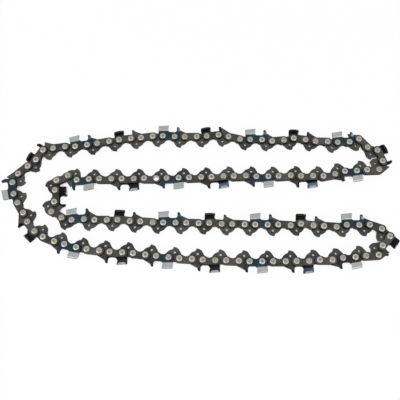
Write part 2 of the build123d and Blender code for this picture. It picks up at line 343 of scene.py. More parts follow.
@dataclass
class PressedPlate:
    """A plate pressed from sheet: an outline with holes, a thickness and slightly rounded edges."""

    low: float
    high: float
    edge: float = 0.1
    round_steps: int = 2
    # How much of the room between its neighbours a point may use to go inward
    inset_share: float = 0.7
    least_closing: float = 1e-6
    merge_distance: float = 1e-7

    @property
    def thick(self) -> float:
        """The thickness of the sheet."""
        return self.high - self.low

    def edge_profile(self) -> list[tuple[float, float, float, float, float]]:
        """The cut edge from the upper face to the lower one.

        Returns:
            Rows of the inset from the outline, the height in the sheet, the outward and the upward part
            of the normal, and the rim value.
        """
        rows = []
        for step in range(self.round_steps + 1):
            angle = math.pi / 2 * step / self.round_steps
            inset = self.edge * (1 - math.sin(angle))
            height = self.thick - self.edge * (1 - math.cos(angle))
            rows.append((inset, height, math.sin(angle), math.cos(angle), step / self.round_steps))
        lower = [(inset, self.thick - height, side, -up, rim) for inset, height, side, up, rim in rows]
        return rows + lower[::-1]

    def pattern(
        self,
        loops: list[np.ndarray],
        inner: np.ndarray | None = None,
        fold: Fold | None = None,
        set_back: Callable[[np.ndarray], np.ndarray] | None = None,
    ) -> Pattern:
        """Makes the plate.

        Args:
            loops: The outline, counter-clockwise, and then the holes, clockwise.
            inner: Points inside the outline that the faces also run through.
            fold: How the plate is bent, if it is.
            set_back: How far each point of the sheet is moved back along x, as a function of its plan.

        Returns:
            The mesh of the plate.
        """
        profile = self.edge_profile()
        plan, flat, rim, quads, first = [], [], [], [], []
        count = 0
        for loop in loops:
            size = len(loop)
            outward, room = self.sideways(loop)
            first.append(count + np.arange(size))
            for inset, height, side, up, value in profile:
                ring = loop - outward * np.minimum(inset, room * inset / self.edge)[:, None]
                plan.append(np.column_stack([ring, np.full(size, height)]))
                flat.append(np.column_stack([outward * side, np.full(size, up)]))
                rim.append(np.full(size, value))
            quads.append(ring_quads(count, size, len(profile)))
            count += len(profile) * size
        top = np.concatenate(first)
        bottom = np.concatenate([row + (len(profile) - 1) * len(row) for row in first])
        if inner is not None:
            size = len(inner)
            for height, up in ((self.thick, 1.0), (0.0, -1.0)):
                plan.append(np.column_stack([inner, np.full(size, height)]))
                flat.append(np.tile([0.0, 0.0, up], (size, 1)))
                rim.append(np.zeros(size))
            top = np.concatenate([top, count + np.arange(size)])
            bottom = np.concatenate([bottom, count + size + np.arange(size)])
        sheet = np.vstack(plan)
        normals = np.vstack(flat)
        faces = self.fill(sheet[top][:, :2], [len(loop) for loop in loops])
        triangles = np.vstack([top[faces], bottom[faces][:, ::-1]])
        moved = sheet.copy()
        if set_back is not None:
            moved[:, 0] -= set_back(sheet)
        if fold is None:
            points = moved + [0, 0, self.low]
        else:
            points, normals = fold.bend(moved, normals, self.thick)
            points = points + [0, 0, (self.low + self.high) / 2]
        rims = np.concatenate(rim)
        return Pattern(points, normals, sheet, rims, np.zeros_like(rims), np.vstack(quads), triangles)

    def sideways(self, loop: np.ndarray) -> tuple[np.ndarray, np.ndarray]:
        """The way out of a loop at each of its points.

        Args:
            loop: The points of the loop.

        Returns:
            The outward directions, and how far each point can go inward before its runs cross.
        """
        ahead = np.roll(loop, -1, axis=0) - loop
        length = np.linalg.norm(ahead, axis=1)
        heading = np.arctan2(ahead[:, 1], ahead[:, 0])
        turn = np.angle(np.exp(1j * (heading - np.roll(heading, 1))))
        shrink = np.tan(turn / 2)
        closing = np.maximum(shrink + np.roll(shrink, -1), self.least_closing)
        room = self.inset_share * length / closing
        chord = np.roll(loop, -1, axis=0) - np.roll(loop, 1, axis=0)
        chord /= np.linalg.norm(chord, axis=1, keepdims=True)
        outward = np.stack([chord[:, 1], -chord[:, 0]], axis=1)
        return outward, np.minimum(room, np.roll(room, 1))

    def fill(self, places: np.ndarray, loop_sizes: list[int]) -> np.ndarray:
        """Fills a face between its loops.

        Args:
            places: The points of all loops, and then any points inside.
            loop_sizes: How many points each loop has.

        Returns:
            Triangles as rows of three point numbers, counter-clockwise.
        """
        edges = []
        # The number of the loop that a point is on, with 0 for the outline and for points inside
        loop_number = np.zeros(len(places), dtype=int)
        start = 0
        for number, size in enumerate(loop_sizes):
            edges += [(start + k, start + (k + 1) % size) for k in range(size)]
            loop_number[start:start + size] = number
            start += size
        inside_only = 1
        _, _, faces, sources, _, _ = geometry.delaunay_2d_cdt(
            [Vector(place) for place in places], edges, [], inside_only, self.merge_distance
        )
        origin = [source[0] for source in sources]
        rows = np.array([[origin[corner] for corner in face] for face in faces])
        # A triangle with all its corners on one hole lies inside that hole
        on_hole = loop_number[rows]
        inside_hole = (on_hole[:, 0] > 0) & (on_hole == on_hole[:, :1]).all(axis=1)
        rows = rows[~inside_hole]
        a, b, c = (places[rows[:, k]] for k in range(3))
        turn = (b - a)[:, 0] * (c - a)[:, 1] - (b - a)[:, 1] * (c - a)[:, 0]
        return np.where(turn[:, None] > 0, rows, rows[:, ::-1])


@dataclass
class ChainSizes:
    """Sizes that the pieces of the chain share, in millimetres."""

    side_spacing: float = 8.88
    drive_spacing: float = 7.63
    drive_gauge: float = 1.5
    side_thickness: float = 1.25
    side_gap: float = 0.05
    hub_hole: float = 1.83
    bearing_hole: float = 2.18
    end_radius: float = 2.9
    end_shift: float = 0.465
    rise: float = 0.25
    arch_width: float = 4.6
    arch_height: float = 0.95

    @property
    def inner_face(self) -> float:
        """Height of a side link's inner face over the middle of the chain."""
        return self.drive_gauge / 2 + self.side_gap

    @property
    def outer_face(self) -> float:
        """Height of a side link's outer face over the middle of the chain."""
        return self.inner_face + self.side_thickness

    def start_outline(self) -> Outline:
        """An outline started with the arch on the bar side of a side link."""
        foot = self.rise - self.end_radius
        middle = self.side_spacing / 2
        outline = Outline(middle - self.arch_width / 2, foot)
        return outline.bow(middle + self.arch_width / 2, foot, self.arch_height)

    def side_holes(self) -> list[np.ndarray]:
        """The two rivet holes of a side link."""
        return [hole(x, 0, self.hub_hole) for x in (0, self.side_spacing)]


@dataclass
class TieStrap:
    """A flat side link with two round ends."""

    sizes: ChainSizes
    corner: float = 0.5

    def pattern(self) -> Pattern:
        """The mesh of a strap on the near side."""
        s = self.sizes
        front = s.side_spacing + s.end_shift
        outline = s.start_outline().line(front, s.rise - s.end_radius)
        outline.sweep((front, s.rise), 180)
        outline.line(-s.end_shift, s.rise + s.end_radius)
        outline.sweep((-s.end_shift, s.rise), 180)
        plate = PressedPlate(s.inner_face, s.outer_face)
        return plate.pattern([outline.rounded(self.corner)] + s.side_holes())


@dataclass
class DriveLink:
    """A centre link with a hooked tang, an oil hole and, ahead of a cutter, a bumper ramp."""

    sizes: ChainSizes
    has_bumper: bool
    end_radius: float = 2.75
    flank_angle: float = 31.0
    foot: Point = (-2.7, -6.7)
    foot_bulge: float = 0.3
    tip: Point = (0.75, -8.0)
    nose: Point = (0.5, 0.3)
    hook: Point = (-0.75, -5.7)
    hook_hollow: float = 0.55
    lobe_bulge: float = 1.0
    oil_hole: float = 0.8
    oil_depth: float = 4.05
    bumper_peak: Point = (1.6, 6.8)
    bumper_front: Point = (1.9, 3.1)
    bumper_root: float = -0.8
    bumper_hollow: float = 1.1
    corner: float = 0.3

    def pattern(self) -> Pattern:
        """The mesh of the link."""
        s = self.sizes
        front = s.drive_spacing
        middle = front / 2
        flank = math.radians(180 + self.flank_angle)
        outline = Outline(self.end_radius * math.cos(flank), self.end_radius * math.sin(flank))
        outline.line(middle + self.foot[0], self.foot[1])
        tip = (middle + self.tip[0], self.tip[1])
        outline.bow(*tip, -self.foot_bulge).line(tip[0] + self.nose[0], tip[1] + self.nose[1])
        outline.bow(front + self.hook[0], self.hook[1], self.hook_hollow)
        outline.bow(front + self.end_radius, 0, -self.lobe_bulge)
        if self.has_bumper:
            root_y = math.sqrt(self.end_radius**2 - self.bumper_root**2)
            outline.line(front + self.bumper_front[0], self.bumper_front[1])
            outline.line(*self.bumper_peak)
            outline.bow(self.bumper_root, root_y, self.bumper_hollow)
            start = math.degrees(math.atan2(root_y, self.bumper_root))
        else:
            outline.sweep((front, 0), 90).line(0, self.end_radius)
            start = 90.0
        outline.sweep((0, 0), 180 + self.flank_angle - start)
        holes = [hole(x, 0, s.bearing_hole) for x in (0, front)]
        holes.append(hole(middle, -self.oil_depth, self.oil_hole))
        plate = PressedPlate(-s.drive_gauge / 2, s.drive_gauge / 2)
        return plate.pattern([outline.rounded(self.corner)] + holes)


@dataclass
class Cutter:
    """A right-hand cutter: a link body, a depth gauge, and a tooth set outward and folded over the chain."""

    sizes: ChainSizes
    front_extra: float = 0.35
    gullet_height: float = 3.5
    gullet_radius: float = 1.8
    gauge_front: float = 3.5
    gauge_bulge: float = 0.6
    gauge_rear: float = 1.2
    gauge_height: float = 7.8
    gauge_tip: float = 1.3
    tooth_front: float = 4.2
    tooth_rear: float = 3.9
    tooth_height: float = 8.75
    tooth_slope: float = 7.5
    tooth_set: float = 0.75
    front_lean: float = 7.5
    bend_start: float = 3.12
    bend_angle: float = 32.0
    bend_arc: float = 0.45
    corner_radius: float = 1.3
    top_width: float = 3.1
    top_drop: float = 0.8
    cutting_angle: float = 25.0
    heel_angle: float = 20.0
    heel_round: float = 0.9
    whet_depth: float = 0.6
    whet_width: float = 0.8
    whet_start: float = 0.9
    whet_run: float = 0.7
    bare_width: float = 0.3
    bare_share: float = 0.45
    row_step: float = 0.26
    column_step: float = 0.75
    corner: float = 0.3
    edge: float = 0.08
    free_edge_runs: int = 6

    def __post_init__(self) -> None:
        """Works out the bent section of the tooth."""
        s = self.sizes
        half = s.side_thickness / 2
        lean = math.radians(self.bend_angle)
        radius = self.bend_arc / lean
        slant = (self.tooth_set - 2 * radius * (1 - math.cos(lean))) / math.sin(lean)
        bend_rise = 2 * radius * math.sin(lean) + slant * math.cos(lean)
        fold_radius = self.corner_radius - half
        fold_angle = math.pi / 2 + math.atan2(self.top_drop, self.top_width)
        tangent = self.corner_radius * math.tan(fold_angle / 2)
        upright = self.tooth_height - tangent - self.bend_start - bend_rise
        across = math.hypot(self.top_width, self.top_drop) - tangent
        self.face = s.outer_face + self.tooth_set
        self.fold = Fold(
            self.bend_start,
            math.tan(math.radians(self.tooth_slope)),
            s.side_spacing / 2 + self.gullet_radius,
            [
                (self.bend_arc, self.bend_angle),
                (slant, 0),
                (self.bend_arc, -self.bend_angle),
                (upright, 0),
                (fold_radius * fold_angle, -math.degrees(fold_angle)),
                (across, 0),
            ],
        )
        self.lean = math.tan(math.radians(self.front_lean))
        self.front_low = self.tooth_front - self.lean * (
            self.tooth_height - self.gullet_height - self.gullet_radius
        )

    def ends(self, reach: float) -> Point:
        """The rear and front of the tooth, at some reach past the first bend."""
        s = self.sizes
        rise, out, angle = self.fold.section(reach)
        height = self.bend_start + rise
        middle = (s.inner_face + s.outer_face) / 2
        inside = self.face - (middle + out + s.side_thickness / 2 * math.cos(angle))
        front_height = height + self.fold.slope * self.tooth_front
        front = min(
            self.tooth_front + self.lean * (front_height - self.tooth_height),
            self.tooth_front - math.tan(math.radians(self.cutting_angle)) * inside,
        )
        heel = -s.end_shift - s.end_radius
        heel_share = (height - self.fold.slope * self.tooth_rear - s.rise) / (self.tooth_height - s.rise)
        rear = max(
            heel + (-self.tooth_rear - heel) * min(1.0, heel_share),
            -self.tooth_rear + math.tan(math.radians(self.heel_angle)) * inside,
        )
        past = max(0.0, reach - self.fold.length + self.heel_round)
        cut = self.heel_round - math.sqrt(max(0.0, self.heel_round**2 - past**2))
        return rear + cut, front - cut

    def flat(self, x: float, reach: float) -> Point:
        """Where a point of the tooth lies in the flat sheet."""
        return x, self.bend_start + self.fold.slope * x + reach

    def rows(self) -> list[float]:
        """The reaches of the rows of points across the tooth."""
        count = round(self.fold.length / self.row_step)
        return [self.fold.length * row / count for row in range(count + 1)]

    def outline(self) -> Outline:
        """The cutter's outline in the flat sheet."""
        s = self.sizes
        front = s.side_spacing + s.end_shift + self.front_extra
        gauge_x = s.side_spacing + self.gauge_front
        outline = s.start_outline().line(front, s.rise - s.end_radius)
        climb = math.degrees(math.acos((gauge_x - front) / s.end_radius))
        outline.sweep((front, s.rise), 90 + climb).line(gauge_x, self.gullet_height)
        rear = s.side_spacing + self.gauge_rear
        outline.bow(rear + self.gauge_tip, self.gauge_height, -self.gauge_bulge)
        outline.line(rear, self.gauge_height).line(rear, self.gullet_height + self.gullet_radius)
        outline.sweep((rear - self.gullet_radius, self.gullet_height + self.gullet_radius), -90)
        outline.line(self.front_low + self.gullet_radius, self.gullet_height)
        turn_centre = (self.front_low + self.gullet_radius, self.gullet_height + self.gullet_radius)
        outline.sweep(turn_centre, -90)
        low = outline.points[-1][1] + self.row_step / 2
        rows = self.rows()
        for reach in rows:
            place = self.flat(self.ends(reach)[1], reach)
            if place[1] > low:
                outline.points.append(place)
        outline.line(*self.flat(self.ends(rows[-1])[0], rows[-1]), steps=self.free_edge_runs)
        for reach in rows[-2::-1]:
            outline.points.append(self.flat(self.ends(reach)[0], reach))
        outline.line(-s.end_shift - s.end_radius, s.rise)
        return outline.sweep((-s.end_shift, s.rise), 90)

    def inner_points(self) -> np.ndarray:
        """Points inside the tooth, in rows along its bends."""
        margin = self.column_step / 2
        places = []
        for reach in self.rows()[:-1]:
            rear, front = self.ends(reach)
            rear, front = rear + margin, front - margin
            count = max(2, round((front - rear) / self.column_step))
            places += [self.flat(rear + (front - rear) * k / count, reach) for k in range(count + 1)]
        return np.array(places)

    def near_front(self, plan: np.ndarray, width: float) -> np.ndarray:
        """How near points of the sheet lie to the cutting edge.

        Args:
            plan: Each point's place in the flat sheet, and its height in the sheet.
            width: How far from the edge the value falls to 0.

        Returns:
            Values from 0 to 1, with 1 at the edge.
        """
        x, across, _ = plan.T
        reach = across - self.bend_start - self.fold.slope * x
        front = np.array([self.ends(max(0.0, r))[1] for r in reach])
        above_gullet = np.clip((reach - self.whet_start) / self.whet_run, 0, 1)
        return np.clip(1 - (front - x) / width, 0, 1) * above_gullet * (x < self.fold.last_x)

    def whetted(self, plan: np.ndarray) -> np.ndarray:
        """How far the inside of the filed front edge stands back from its outside."""
        share_below = 1 - plan[:, 2] / self.sizes.side_thickness
        return self.whet_depth * self.near_front(plan, self.whet_width) * share_below

    def pattern(self) -> Pattern:
        """The mesh of a right-hand cutter, on the near side."""
        s = self.sizes
        plate = PressedPlate(s.inner_face, s.outer_face, edge=self.edge)
        loops = [self.outline().rounded(self.corner)] + s.side_holes()
        pattern = plate.pattern(loops, self.inner_points(), self.fold, self.whetted)
        outer_part = pattern.plan[:, 2] > self.bare_share * s.side_thickness
        pattern.filed = self.near_front(pattern.plan, self.bare_width) * outer_part
        return pattern


@dataclass
class Rivet:
    """A rivet with a flange between the side links and a spun, dished head at each end."""

    sizes: ChainSizes
    flange: float = 2.1
    hub: float = 1.8
    head_height: float = 0.65
    steps: int = 36
    # The head from its dished middle to its rim: radius, and height as a share of the head's height
    crown: tuple[Point, ...] = (
        (0.0, 0.76),
        (0.3, 0.79),
        (0.55, 0.9),
        (0.75, 0.985),
        (1.0, 1.0),
        (1.4, 0.97),
        (1.75, 0.85),
        (2.0, 0.66),
        (2.14, 0.45),
        (2.2, 0.24),
        (2.2, 0.0),
    )

    def pattern(self) -> Pattern:
        """The mesh of the rivet."""
        s = self.sizes
        near = [(radius, s.outer_face + share * self.head_height) for radius, share in self.crown]
        near += [(self.hub, s.outer_face), (self.hub, s.inner_face), (self.flange, s.inner_face)]
        profile = np.array(near + [(radius, -height) for radius, height in near[::-1]])
        chord = np.vstack([profile[1:], profile[-1:]]) - np.vstack([profile[:1], profile[:-1]])
        chord /= np.linalg.norm(chord, axis=1, keepdims=True)
        side, up = -chord[:, 1], chord[:, 0]
        side[[0, -1]] = 0.0
        up[[0, -1]] = (1.0, -1.0)
        angles = np.arange(self.steps) * 2 * math.pi / self.steps
        around = np.stack([np.cos(angles), np.sin(angles), np.zeros(self.steps)], axis=1)
        rings = profile[1:-1]
        points = [np.array([[0, 0, profile[0, 1]]])]
        normals = [np.array([[0, 0, 1.0]])]
        for (radius, height), out, rise in zip(rings, side[1:-1], up[1:-1]):
            points.append(around * radius + [0, 0, height])
            normals.append(around * out + [0, 0, rise])
        points.append(np.array([[0, 0, profile[-1, 1]]]))
        normals.append(np.array([[0, 0, -1.0]]))
        here = np.arange(self.steps)
        after = np.roll(here, -1)
        quads = ring_quads(1, self.steps, len(rings))
        last = 1 + (len(rings) - 1) * self.steps
        tip = last + self.steps
        first_fan = np.stack([np.zeros_like(here), 1 + here, 1 + after], axis=1)
        last_fan = np.stack([np.full_like(here, tip), last + after, last + here], axis=1)
        place = np.vstack(points)
        nothing = np.zeros(len(place))
        fans = np.vstack([first_fan, last_fan])
        return Pattern(place, np.vstack(normals), place, nothing, nothing, quads, fans)


@dataclass
class ChainLay:
    """Where the links lie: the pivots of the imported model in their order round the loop."""

    frame: dict[str, Any]
    sizes: ChainSizes
    open_pivot: str = "open_rivet_hole"
    tolerance: float = 0.03
    weld: float = 0.001
    pivots: list[Vector] = field(default_factory=list)

    def __post_init__(self) -> None:
        """Reads the rivets and puts them in order, from the open pivot on."""
        mounts = {mount["name"]: mount for mount in self.frame["record"]["mounts"]}
        here = Vector(mounts[self.open_pivot]["pos_m"])
        left = [centre for name in self.frame["nodes"] if name.endswith(Kind.RIVET.value)
                for centre in self.rivet_centres(name)]
        self.pivots.append(here)
        while left:
            side_link = len(self.pivots) % 2 == 1
            spacing = MM * (self.sizes.side_spacing if side_link else self.sizes.drive_spacing)
            misses = [abs((centre - here).length - spacing) for centre in left]
            best = min(range(len(left)), key=misses.__getitem__)
            if misses[best] > self.tolerance * MM:
                raise ValueError(f"pivot {len(self.pivots)} has no neighbour at its spacing")
            here = left.pop(best)
            self.pivots.append(here)

    def rivet_centres(self, node: str) -> list[Vector]:
        """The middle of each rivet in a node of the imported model."""
        mesh = bmesh.new()
        mesh.from_mesh(self.frame["nodes"][node].data)
        bmesh.ops.remove_doubles(mesh, verts=mesh.verts, dist=self.weld * MM)
        centres = []
        seen: set[int] = set()
        for start in mesh.verts:
            if start.index in seen:
                continue
            island = [start]
            seen.add(start.index)
            for vertex in island:
                for edge in vertex.link_edges:
                    other = edge.other_vert(vertex)
                    if other.index not in seen:
                        seen.add(other.index)
                        island.append(other)
            centres.append(sum((vertex.co for vertex in island), Vector()) / len(island))
        mesh.free()
        return centres

    def heading(self, link: int) -> float:
        """The direction of a link in radians."""
        along = self.pivots[(link + 1) % len(self.pivots)] - self.pivots[link]
        return math.atan2(along.y, along.x)


class Wire:
    """A value in a shader that takes part in sums."""

    # The numbers of a mix node's colour sockets, which share their names with others
    mix_low = 6
    mix_high = 7
    mix_result = 2

    def __init__(self, desk: "ShaderDesk", socket: bpy.types.NodeSocket) -> None:
        """Wraps an output socket."""
        self.desk = desk
        self.socket = socket

    def sum(self, operation: str, first: Any, second: Any) -> "Wire":
        """The result of one arithmetic step on two values."""
        return self.desk.add("ShaderNodeMath", {"operation": operation}, {0: first, 1: second})

    def __add__(self, other: Any) -> "Wire":
        """This value plus another."""
        return self.sum("ADD", self, other)

    __radd__ = __add__

    def __sub__(self, other: Any) -> "Wire":
        """This value less another."""
        return self.sum("SUBTRACT", self, other)

    def __rsub__(self, other: Any) -> "Wire":
        """Another value less this one."""
        return self.sum("SUBTRACT", other, self)

    def __mul__(self, other: Any) -> "Wire":
        """This value times another."""
        return self.sum("MULTIPLY", self, other)

    __rmul__ = __mul__

    def larger(self, other: Any) -> "Wire":
        """The larger of this value and another."""
        return self.sum("MAXIMUM", self, other)

    def step(self, low: float, high: float) -> "Wire":
        """A smooth step from 0 at the low value to 1 at the high one."""
        return self.desk.add(
            "ShaderNodeMapRange",
            {"interpolation_type": "SMOOTHSTEP"},
            {"Value": self, "From Min": low, "From Max": high},
        )

    def between(self, rise: Point, fall: Point) -> "Wire":
        """1 between a smooth step up and a smooth step down."""
        return self.step(*rise) * (1 - self.step(*fall))

    def mix(self, low: Any, high: Any) -> "Wire":
        """A colour between two colours, the first where this value is 0."""
        inputs = {"Factor": self, self.mix_low: low, self.mix_high: high}
        return self.desk.add("ShaderNodeMix", {"data_type": "RGBA"}, inputs, self.mix_result)


def weighed(wires: Sequence[Wire], shares: Sequence[float]) -> Wire:
    """The sum of some values, each times its share."""
    first, *rest = [wire * share for wire, share in zip(wires, shares, strict=True)]
    return sum(rest, first)


@dataclass(frozen=True)
class Grain:
    """A cloudy pattern: its runs per millimetre, its detail, its roughness and how it is squeezed."""

    scale: float
    detail: float = 3.0
    squeeze: tuple[float, float, float] | None = None
    rough: float = 0.55


class ShaderDesk:
    """The nodes of one material or of the world."""

    def __init__(self, owner: bpy.types.Material | bpy.types.World) -> None:
        """Clears the nodes of a material or of the world."""
        owner.use_nodes = True
        self.tree = owner.node_tree
        self.tree.nodes.clear()

    def node(
        self,
        kind: str,
        settings: dict[str, Any] | None = None,
        inputs: dict[Any, Any] | None = None,
    ) -> bpy.types.Node:
        """Adds a node.

        Args:
            kind: The node's type.
            settings: The node's own settings, set before its sockets.
            inputs: Values or wires by the name or number of the socket that they go to.

        Returns:
            The node.
        """
        node = self.tree.nodes.new(kind)
        for key, value in (settings or {}).items():
            setattr(node, key, value)
        for key, value in (inputs or {}).items():
            if isinstance(value, Wire):
                self.tree.links.new(value.socket, node.inputs[key])
            else:
                node.inputs[key].default_value = value
        return node

    def add(
        self,
        kind: str,
        settings: dict[str, Any] | None = None,
        inputs: dict[Any, Any] | None = None,
        output: Any = 0,
    ) -> Wire:
        """Adds a node, as node does, and gives back one of its outputs, ready for sums."""
        return Wire(self, self.node(kind, settings, inputs).outputs[output])

    def read(self, name: str, output: str = "Fac") -> Wire:
        """A value that the mesh carries."""
        return self.add("ShaderNodeAttribute", {"attribute_name": name}, None, output)

    def scaled(self, place: Wire, by: Sequence[float]) -> Wire:
        """A place with each of its parts scaled."""
        return self.add("ShaderNodeVectorMath", {"operation": "MULTIPLY"}, {0: place, 1: by})

    def shifted(self, place: Wire, by: Wire) -> Wire:
        """A place moved by the same length each way."""
        return self.add("ShaderNodeVectorMath", {"operation": "ADD"}, {0: place, 1: by})

    def apart(self, place: Wire, centre: Sequence[float]) -> Wire:
        """How far a place is from a centre, seen from above."""
        inputs = {0: self.scaled(place, (1, 1, 0)), 1: (*centre, 0)}
        return self.add("ShaderNodeVectorMath", {"operation": "DISTANCE"}, inputs, "Value")


class SteelDesk(ShaderDesk):
    """The nodes of one steel finish, with the places that each of them starts from."""

    # How far apart the noise of two pieces lies, times the difference of their numbers
    piece_shift = 60.0
    noise_middle = 0.5

    def __init__(self, owner: bpy.types.Material) -> None:
        """Reads the number and the flat plan that a piece carries."""
        super().__init__(owner)
        self.piece = self.read("piece")
        self.plan = self.read("plan", "Vector")
        self.place = self.shifted(self.plan, self.piece * self.piece_shift)

    def parts(self) -> tuple[Wire, Wire, Wire]:
        """The place along the flat sheet, the place across it and the height in it."""
        outputs = self.node("ShaderNodeSeparateXYZ", None, {0: self.plan}).outputs
        return Wire(self, outputs[0]), Wire(self, outputs[1]), Wire(self, outputs[2])

    def noise(self, grain: Grain) -> Wire:
        """Cloudy noise about 0.5 that differs from piece to piece."""
        place = self.scaled(self.place, grain.squeeze) if grain.squeeze else self.place
        inputs = {"Vector": place, "Scale": grain.scale, "Detail": grain.detail, "Roughness": grain.rough}
        return self.add("ShaderNodeTexNoise", None, inputs)

    def bump(self, height: Wire, strength: float, depth: float) -> Wire:
        """A normal that follows a height, with its depth in millimetres."""
        inputs = {"Strength": strength, "Distance": depth * MM, "Height": height}
        return self.add("ShaderNodeBump", None, inputs)

    def steel(self, colour: Wire, metal: Any, rough: Wire, normal: Wire) -> None:
        """Finishes a material with one steel surface."""
        inputs = {"Base Color": colour, "Metallic": metal, "Roughness": rough, "Normal": normal}
        shader = self.add("ShaderNodeBsdfPrincipled", None, inputs)
        self.node("ShaderNodeOutputMaterial", None, {"Surface": shader})


@dataclass(frozen=True)
class Finish:
    """What the steel finishes share: names, a band of tones and the depth of their marks.

    Bands are pairs of values between which a smooth step runs, and covers are shares of full strength.
    """

    name: str
    slot: str
    tone_band: Point = (0.2, 0.8)
    bump_strength: float = 0.2
    bump_depth: float = 0.03

    def make(self) -> bpy.types.Material:
        """The material."""
        material = bpy.data.materials.new(self.name)
        self.paint(SteelDesk(material))
        return material

    def paint(self, desk: SteelDesk) -> None:
        """Lays the finish out in nodes."""
        raise NotImplementedError(self.name)


@dataclass(frozen=True)
class CoatedSteel(Finish):
    """Steel with a coat that wears off along its rounded edges, which are made lighter both as wear and as a
    painted highlight.
    """

    wear_and_highlight_start: Point = (0.05, 0.5)
    wear_and_highlight_end: Point = (0.5, 0.9)
    wear_and_highlight_patches: Point = (0.4, 0.6)
    wear_and_highlight_cover: float = 0.6

    def edge_wear_and_highlight(self, rim: Wire, grain: Wire) -> Wire:
        """How far the coat wears off along rounded edges, a share that also paints a highlight there."""
        along = rim.between(self.wear_and_highlight_start, self.wear_and_highlight_end)
        return along * grain.step(*self.wear_and_highlight_patches) * self.wear_and_highlight_cover


@dataclass(frozen=True)
class PhosphatedSteel(CoatedSteel):
    """Dark grey links: a thin phosphate coat with a satin gloss and blackened cut edges, dark partly as
    oxide and partly as painted shade.
    """

    name: str = "phosphated_steel"
    slot: str = "dark_link_steel"
    wear_and_highlight_patches: Point = (0.42, 0.62)
    bump_strength: float = 0.25
    dark: Colour = tint(49, 48, 46)
    light: Colour = tint(82, 81, 78)
    # Cut edges: dark oxide, darkened further as painted shade on the walls
    cut: Colour = tint(16, 16, 15)
    # Lighter edge colour: bare steel from wear, and a painted highlight where edges catch light
    worn_and_highlit: Colour = tint(126, 124, 118)
    # The colour of the painted shadow round the ends of the side links
    strap_shadow: Colour = tint(12, 12, 11)
    # Near white hole walls: burnish, and painted light where a hole stands open
    burnish_and_light: Colour = tint(226, 225, 221)
    cloud: Grain = Grain(0.24)
    grain: Grain = Grain(2.6, 4)
    streak: Grain = Grain(1.0, 2, (0.25, 3.2, 1))
    # How much the cloud, the grain, the streaks and the piece's number count in its tone
    tone_shares: tuple[float, ...] = (0.9, 0.35, 0.3, 0.3)
    tone_shift: float = 0.425
    cut_band: Point = (0.55, 0.95)
    # Where the ends of the side links cast a painted shadow on the drive link, and how far it reaches
    strap_shadow_centres: tuple[Point, ...] = ()
    strap_shadow_reach: Point = (2.9, 3.6)
    strap_shadow_cover: float = 0.85
    # Where the rivets' holes are bright from burnish, painted near white so that an open hole looks lit
    # through, and how far from their centres
    burnished_lit_bores: tuple[Point, ...] = ()
    burnished_lit_bore_reach: Point = (2.0, 2.15)
    metal: float = 0.7
    rough_base: float = 0.3
    # How much the grain and the cloud roughen it, and how much the grain and the streaks raise it
    rough_shares: Point = (0.22, 0.1)
    bump_shares: Point = (0.7, 0.3)

    def paint(self, desk: SteelDesk) -> None:
        """Lays the finish out in nodes."""
        rim = desk.read("rim")
        cloud, grain, streak = (desk.noise(each) for each in (self.cloud, self.grain, self.streak))
        tone = weighed((cloud, grain, streak, desk.piece), self.tone_shares) - self.tone_shift
        colour = tone.step(*self.tone_band).mix(self.dark, self.light)
        # A painted shadow round the ends of the side links
        for centre in self.strap_shadow_centres:
            strap_shadowed = 1 - desk.apart(desk.plan, centre).step(*self.strap_shadow_reach)
            colour = (strap_shadowed * self.strap_shadow_cover).mix(colour, self.strap_shadow)
        # Cut edges darkened, partly as oxide and partly as painted shade
        colour = rim.step(*self.cut_band).mix(colour, self.cut)
        # Rounded edges made lighter, as wear and as a painted highlight
        colour = self.edge_wear_and_highlight(rim, grain).mix(colour, self.worn_and_highlit)
        # Hole walls painted near white: burnish, and painted light where a hole stands open
        for centre in self.burnished_lit_bores:
            colour = desk.apart(desk.plan, centre).step(*self.burnished_lit_bore_reach).mix(self.burnish_and_light, colour)
        rough = self.rough_base + weighed((grain, cloud), self.rough_shares)
        marks = weighed((grain, streak), self.bump_shares)
        desk.steel(colour, self.metal, rough, desk.bump(marks, self.bump_strength, self.bump_depth))


